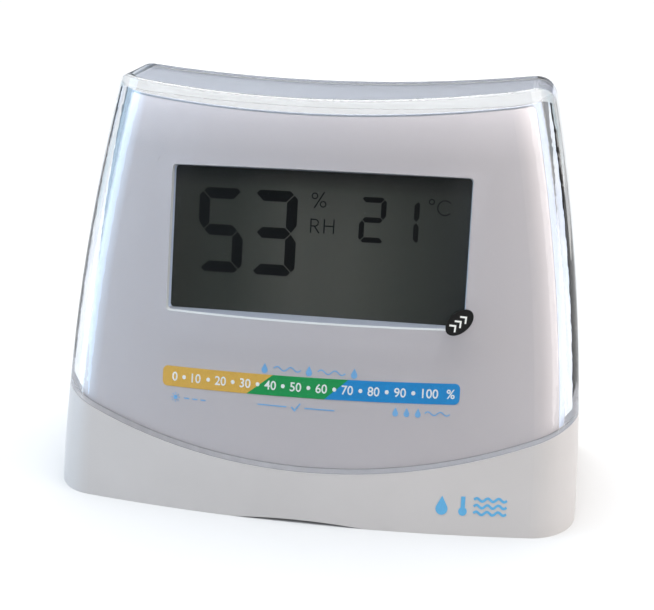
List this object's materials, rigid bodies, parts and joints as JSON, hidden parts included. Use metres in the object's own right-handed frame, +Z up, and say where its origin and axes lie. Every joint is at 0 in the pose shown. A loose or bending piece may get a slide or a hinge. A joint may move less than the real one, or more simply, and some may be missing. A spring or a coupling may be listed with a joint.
{
  "type": "digital thermo-hygrometer",
  "caption": "Free-standing room humidity and temperature display: wedge-shaped case with a clear front cover, segment display, printed humidity scale, battery door and unit switch.",
  "frame": {"origin": "on the table, under the middle of the object's box", "axes": "+X to the reader's right, +Y from the display to the flat back, +Z up"},
  "size_m": [0.098, 0.0434, 0.075],
  "materials": {
    "clear_plastic": "clear, polished",
    "silver_plastic": "satin silver, fine metallic flake",
    "white_plastic": "satin white, slightly warm",
    "steel": "zinc plated",
    "spring_steel": "nickel plated",
    "cell_jacket": "printed sleeve, bare ends",
    "black_plastic": "fine texture",
    "switch_metal": "tinned",
    "board": "green solder mask",
    "conductive_rubber": "striped",
    "black_resin": "glossy resin",
    "sensor_plastic": "moulded",
    "sensor_bead": "dipped",
    "chip_ceramic": "sintered",
    "red_insulation": "smooth",
    "black_insulation": "smooth",
    "grey_insulation": "smooth",
    "clear_film": "clear peel-off film",
    "black_film": "printed black",
    "polariser": "anti-glare film, grey green",
    "display_glass": "polished",
    "reflector": "matt reflective film",
    "display_segment": "dark liquid-crystal figure",
    "print_white": "screen-printed ink",
    "print_orange": "screen-printed ink",
    "print_green": "screen-printed ink",
    "print_blue": "screen-printed ink",
    "print_pale_blue": "screen-printed ink"
  },
  "bodies": {
    "case": {"clear_cover": "clear_plastic", "fascia_panel": "silver_plastic", "front_housing": "white_plastic", "rear_housing": "white_plastic", "housing_screws": "steel", "battery_cell": "cell_jacket", "spring_contact": "spring_steel", "plate_contact": "spring_steel", "unit_switch_case": "switch_metal", "unit_switch_board": "board", "zebra_strip": "conductive_rubber", "main_board": "board", "board_screws": "steel", "controller_cap": "black_resin", "humidity_sensor": "sensor_plastic", "thermistor": "sensor_bead", "crystal_can": "switch_metal", "chip_capacitors": "chip_ceramic", "chip_resistors": "chip_ceramic", "positive_lead": "red_insulation", "negative_lead": "black_insulation", "switch_leads": "grey_insulation", "display_film": "clear_film", "lift_tab": "black_film", "front_polariser": "polariser", "lcd_front_glass": "display_glass", "lcd_rear_glass": "display_glass", "rear_reflector": "reflector"},
    "battery_door": {"battery_door": "white_plastic"},
    "unit_switch_knob": {"unit_switch_knob": "black_plastic"}
  },
  "joints": [
    {"name": "battery_door_hinge", "type": "hinge", "parent": "case", "child": "battery_door", "pos_m": [0, 0.0211, 0.0118], "axis": [-1, 0, 0], "range_deg": [0, 80]},
    {"name": "unit_switch_slide", "type": "slide", "parent": "case", "child": "unit_switch_knob", "axis": [1, 0, 0], "range_m": [0, 0.002]}
  ]
}
